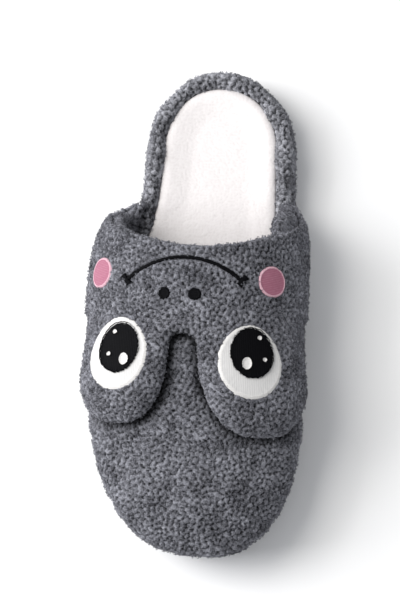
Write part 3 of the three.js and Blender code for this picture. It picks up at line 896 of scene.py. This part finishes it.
def stitched_patch(name, tree, axes, radius, border, rib, raise_mm=(0.25, 0.2), rings=(6, 6), ragged=0.15):
    """A round grid with a plain field and a ribbed satin border that turns down into the pile."""
    centre, across, along, normal = axes
    probes = np.linspace(0, 2 * math.pi, 49)  # where the outline is looked up
    rim = np.array([radius(a) for a in probes[:-1]])
    girth = 2 * math.pi * rim.mean()
    ribs = max(12, round(girth / rib))
    spokes = ribs * 3
    angles = np.arange(spokes) * 2 * math.pi / spokes
    reach = np.interp(angles, probes, np.append(rim, rim[0]))
    uneven = np.repeat(rng.uniform(-ragged, ragged, ribs), 3)  # no two stitches end alike
    reach = reach + uneven * MM
    inner = 1 - border / rim.mean()
    field_shares = np.linspace(0, inner, rings[0] + 1)[1:]
    shares = [*field_shares, *np.linspace(inner, 1, rings[1] + 1)[1:]]
    points = [np.array(drop(tree, centre, normal)) + normal * raise_mm[0] * MM]
    for share in shares:
        bead = math.sin(math.pi * min(max((share - inner) / (1 - inner), 0), 1) ** 0.8)
        for k, angle in enumerate(angles):
            way = across * math.cos(angle) + along * math.sin(angle)
            hit = drop(tree, centre + way * reach[k] * min(share, 0.97), normal)
            level = (np.array(hit) - centre) @ normal if hit is not None else level
            rib_wave = math.cos(2 * math.pi * k / 3)
            lift = raise_mm[0] + raise_mm[1] * bead * (1 + 0.35 * rib_wave)
            if share >= 1:
                lift = -1.0  # the edge turns down into the pile
            spread = reach[k] * share * (1 + 0.006 * rib_wave * (share > inner))
            points.append(centre + way * spread + normal * (level + lift * MM))
    points = np.array(points)
    faces = [(0, 1 + k, 1 + (k + 1) % spokes) for k in range(spokes)]
    field_faces = 0
    for r in range(len(shares) - 1):
        for k in range(spokes):
            a, b = 1 + r * spokes + k, 1 + r * spokes + (k + 1) % spokes
            faces.append((a, a + spokes, b + spokes, b))
        if r == rings[0] - 2:
            field_faces = len(faces)
    mesh = bpy.data.meshes.new(name)
    mesh.from_pydata(points.tolist(), [], faces)
    mesh.polygons.foreach_set("use_smooth", np.ones(len(faces), bool))
    piece = bpy.data.objects.new(name, mesh)
    bpy.context.scene.collection.objects.link(piece)
    piece["field_faces"] = field_faces
    return piece


def stitched_node(node_name, border, rib, threads, slot, sunk, ragged, rings=(6, 6)):
    """A stitched patch in place of an embroidered CAD node, pressed into the pile."""
    field_thread, satin_thread = threads
    tree = tree_of(node_name)
    axes = patch_axes(node_name)
    radius = solid_radius(tree, *axes)
    name, heights = node_name + "_stitched", (-sunk, 0.2)
    piece = stitched_patch(
        name, tree, axes, radius, border * MM, rib * MM, heights, rings, ragged
    )
    settle(piece, field_thread, slot, node_name)
    piece.data.materials.append(satin_thread)
    numbers = (np.arange(len(piece.data.polygons)) >= piece["field_faces"]).astype(np.int32)
    piece.data.polygons.foreach_set("material_index", numbers)


white, black, pink = (white_field, white_satin), (black_field, black_satin), (pink_field, pink_satin)
black_all_satin = (black_satin, black_satin)
patches = [
    # node, border and rib in mm, threads, slot, depth in the pile and ragged ends in mm, rings
    ("eye_white_", 1.8, 0.9, white, "white_thread", 0.7, 0.2, (6, 6)),
    ("pupil_", 1.2, 0.9, black, "black_thread", 1.9, 0.35, (6, 6)),
    ("cheek_", 1.1, 0.8, pink, "pink_thread", 0.7, 0.12, (5, 5)),
    ("nostril_", 1.2, 0.8, black_all_satin, "black_thread", 0.6, 0.35, (3, 4)),
]
for side in ("outer", "inner"):
    for name, *details in patches:
        stitched_node(name + side, *details)

# %% Glints in the pupils
glints = [
    # pupil, x, y, width, length in millimetres
    ("outer", -39.4, -23.0, 2.3, 2.3),
    ("outer", -42.0, -34.7, 2.2, 2.2),
    ("outer", -34.0, -37.7, 5.0, 6.0),
    ("inner", 35.2, -25.1, 2.3, 2.3),
    ("inner", 38.2, -36.3, 2.2, 2.2),
    ("inner", 29.4, -38.9, 5.0, 6.2),
]
for number, (side, x, y, width, length) in enumerate(glints):
    tree = tree_of("pupil_" + side)
    directions = patch_axes("pupil_" + side)[1:]
    centre = np.array(under(x * MM, y * MM, tree)[0])

    def oval(angle, wide=width * MM / 2, long=length * MM / 2):
        return wide * long / math.hypot(long * math.cos(angle), wide * math.sin(angle))

    name, border, rib = f"glint_{side}_{number % 3 + 1}", 0.7 * MM, 0.7 * MM
    axes, heights = (centre, *directions), (-1.45, 0.3)
    glint = stitched_patch(name, tree, axes, oval, border, rib, heights, (2, 3))
    settle(glint, white_satin, "white_thread")

# %% The smile
def stroke(name, path, normals, width, height, rib):
    """A satin stitched line: a low half-round bead with a rib for each stitch."""
    along = unit(np.gradient(path, axis=0))
    across = unit(np.cross(normals, along))
    profile = [(-1.0, -0.9), (-0.95, 0.3), (-0.55, 0.85), (0, 1.0), (0.55, 0.85), (0.95, 0.3), (1.0, -0.9)]
    points, quads = [], []
    for i, spot in enumerate(path):
        wave = 1 + 0.1 * math.cos(2 * math.pi * i / 3)
        from_middle = abs(2 * i / (len(path) - 1) - 1)
        jag = (1 + 0.3 * rng.uniform(-1, 1)) * (0.85 + 0.4 * from_middle**2)
        for a, h in profile:
            points.append(spot + across[i] * a * width / 2 * jag + normals[i] * h * height * wave)
    wide = len(profile)
    for i in range(len(path) - 1):
        for k in range(wide - 1):
            quads.append((i * wide + k, i * wide + k + 1, (i + 1) * wide + k + 1, (i + 1) * wide + k))
    mesh = new_mesh(name, np.array(points), np.array(quads))
    piece = bpy.data.objects.new(name, mesh)
    bpy.context.scene.collection.objects.link(piece)
    return piece


smile_corners = corners_of(frame["nodes"]["smile"].data)
smile_low, smile_high = smile_corners[:, 0].min(), smile_corners[:, 0].max()
inside = (smile_corners[:, 0] > smile_low + 4 * MM) & (smile_corners[:, 0] < smile_high - 4 * MM)
bow = np.polyfit(smile_corners[inside, 0], smile_corners[inside, 1], 2)


def on_panel(spots, rise):
    """Points over the panel's top and their normals, for places seen from above."""
    found = [under(x, y, panel_tree) for x, y in spots]
    normals = np.array([f[1] for f in found])
    return np.array([f[0] for f in found]) + normals * rise, normals


def smile_stroke(name, spots, width, rise):
    path, normals = on_panel(spots, rise)
    path = np.array([np.mean(path[max(0, i - 3) : i + 4], axis=0) for i in range(len(path))])
    normals = np.array([np.mean(normals[max(0, i - 4) : i + 5], axis=0) for i in range(len(path))])
    thickness, rib = 0.45 * MM, 0.7 * MM
    line = stroke(name, path, unit(normals), width, thickness, rib)
    return settle(line, black_satin, "black_thread")


end = 1.6 * MM  # how far the smile stops short of its solid's ends
tick_reach, tick_width, tick_rise = 3.4 * MM, 2.9 * MM, 0.7 * MM
xs = np.linspace(smile_low + end, smile_high - end, 270)
smile = smile_stroke("smile_stitched", [(x, np.polyval(bow, x)) for x in xs], 1.9 * MM, 0.35 * MM)
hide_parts("smile")
for label, x in (("outer", smile_low + end), ("inner", smile_high - end)):
    slope = np.polyval(np.polyder(bow), x)
    across = unit(np.array([-slope, 1.0]))
    middle = np.array([x, np.polyval(bow, x)])
    tick = [middle + across * t for t in np.linspace(-tick_reach, tick_reach, 30)]
    smile_stroke("smile_tick_" + label, tick, tick_width, tick_rise)

# %% [markdown]
# ## The outsole
# A thin moulded sheet, taken to be thermoplastic rubber, dark grey and matt. The photo hides it
# from above, so its colour, its grooves and its edge are guesses. From the side it shows as a
# narrow line under the fleece.

# %% Outsole
def rubber_material():
    """Moulded thermoplastic rubber: matt, with a fine spark-eroded grain and pale scuffs."""
    material, tree = new_material("moulded_thermoplastic_rubber")
    place = node(tree, "TexCoord").outputs["Object"]
    grain = node(tree, "TexNoise", Vector=place, Scale=1 / (0.5 * MM), Detail=3.0)
    scuff = node(tree, "TexNoise", Vector=place, Scale=1 / (9 * MM), Detail=5.0, Roughness=0.7)
    tone = node(tree, "MapRange", Value=scuff.outputs[0], From_Min=0.45, From_Max=0.8)
    colour = blend(tree, tone.outputs[0], linear("#37383d"), linear("#55565b"))
    dull = node(tree, "MapRange", Value=grain.outputs[0], To_Min=0.6, To_Max=0.85)
    bump = node(tree, "Bump", Strength=0.35, Distance=0.1 * MM, Height=grain.outputs[0])
    skin = node(
        tree,
        "BsdfPrincipled",
        Base_Color=colour.outputs[2],
        Roughness=dull.outputs[0],
        Normal=bump.outputs[0],
    )
    finish_material(tree, skin)
    return material


rubber = rubber_material()
print("Rubber nodes:", len(rubber.node_tree.nodes))

# %% Outsole: wavy grooves underneath and a moulding line round its side
outsole = even_copy("outsole_moulded", "outsole", 1.1 * MM, 1)
corners, normals = corners_of(outsole.data), normals_of(outsole.data)
thin_out(outsole, ~covered(corners, normals, tree_of("sole_wrap"), 1 * MM))
corners, normals = corners_of(outsole.data), normals_of(outsole.data)
tread_pitch, groove_width, groove_depth, plain_border = 7 * MM, 2.2 * MM, 0.8 * MM, 6 * MM
swing, swing_pitch = 2.4 * MM, 22 * MM  # of each wavy groove
side_wall = abs(normals[:, 2]) < 0.6
from_side = distance_to(corners[side_wall], corners)[0]
wave = corners[:, 1] + swing * np.sin(corners[:, 0] * 2 * math.pi / swing_pitch)
from_groove = abs((wave / tread_pitch + 0.5) % 1 - 0.5) * tread_pitch
inside_border = soft_step((from_side - plain_border) / MM + 0.5)
groove = soft_step(1.5 - from_groove / (groove_width / 2)) * inside_border
frame_line = soft_step(1.5 - abs(from_side - plain_border + 2.5 * MM) / (0.9 * MM))
underneath = normals[:, 2] < -0.7
lift = -groove_depth * np.maximum(groove, frame_line) * underneath
side_line = corners[:, 2] - (corners[side_wall, 2].max() + corners[side_wall, 2].min()) / 2
lift -= 0.3 * MM * np.exp(-((side_line / (1.0 * MM)) ** 2)) * side_wall
write_corners(outsole.data, corners + normals * lift[:, None])
outsole.data.polygons.foreach_set("use_smooth", np.ones(len(outsole.data.polygons), bool))
settle(outsole, rubber, "sole_rubber", "outsole")

# %% Count the triangles added
total = 0
for piece in bpy.context.scene.objects:
    if piece.type == "MESH" and not piece.hide_render and "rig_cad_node" not in piece:
        total += sum(len(f.vertices) - 2 for f in piece.data.polygons)
print("Triangles added in all:", total)
